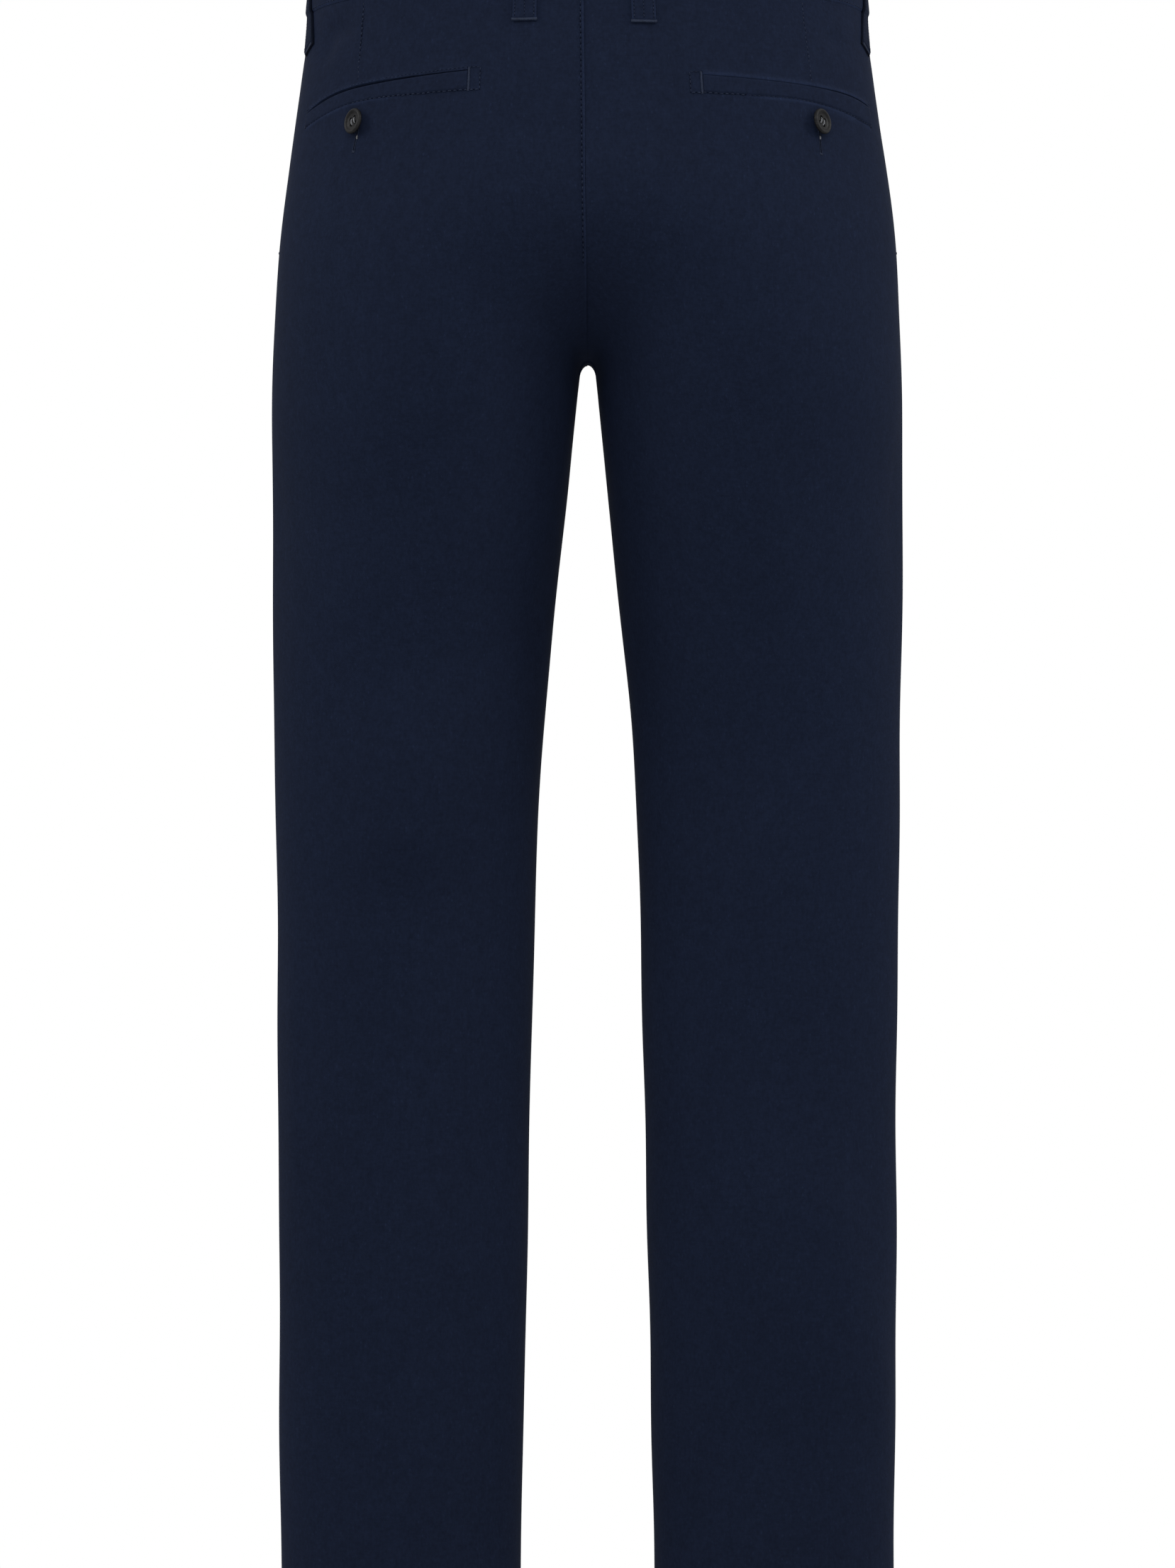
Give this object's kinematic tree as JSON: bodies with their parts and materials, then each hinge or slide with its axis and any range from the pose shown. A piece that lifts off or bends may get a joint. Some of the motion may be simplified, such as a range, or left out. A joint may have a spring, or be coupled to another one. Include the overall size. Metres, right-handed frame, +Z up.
{
  "type": "chino trousers",
  "caption": "Full-length trousers in the hollow shape they have when worn, with a waistband and belt loops, slant front pockets, and welted back pockets that button shut.",
  "frame": {"origin": "middle of the waist opening, halfway up the waistband at the sides, where the wearer's waist holds the trousers up", "axes": "+Z up from the hems to the waist, -Y to the front with the fly, +X to the wearer's left"},
  "size_m": [0.3708, 0.2572, 1.0672],
  "materials": {
    "twill": "matt navy cotton weave",
    "button": "dark horn-like resin with a soft gloss"
  },
  "bodies": {
    "root": {"front_left": "twill", "front_right": "twill", "back_left": "twill", "back_right": "twill", "pocket_facing_left": "twill", "pocket_facing_right": "twill", "fly": "twill", "waistband_left": "twill", "waistband_right": "twill", "belt_loop_back_left": "twill", "belt_loop_back_right": "twill", "belt_loop_side_left": "twill", "belt_loop_side_right": "twill", "belt_loop_front_left": "twill", "belt_loop_front_right": "twill", "pocket_welt_left": "twill", "pocket_welt_right": "twill", "pocket_button_left": "button", "pocket_button_right": "button", "waist_button": "button"}
  },
  "joints": []
}
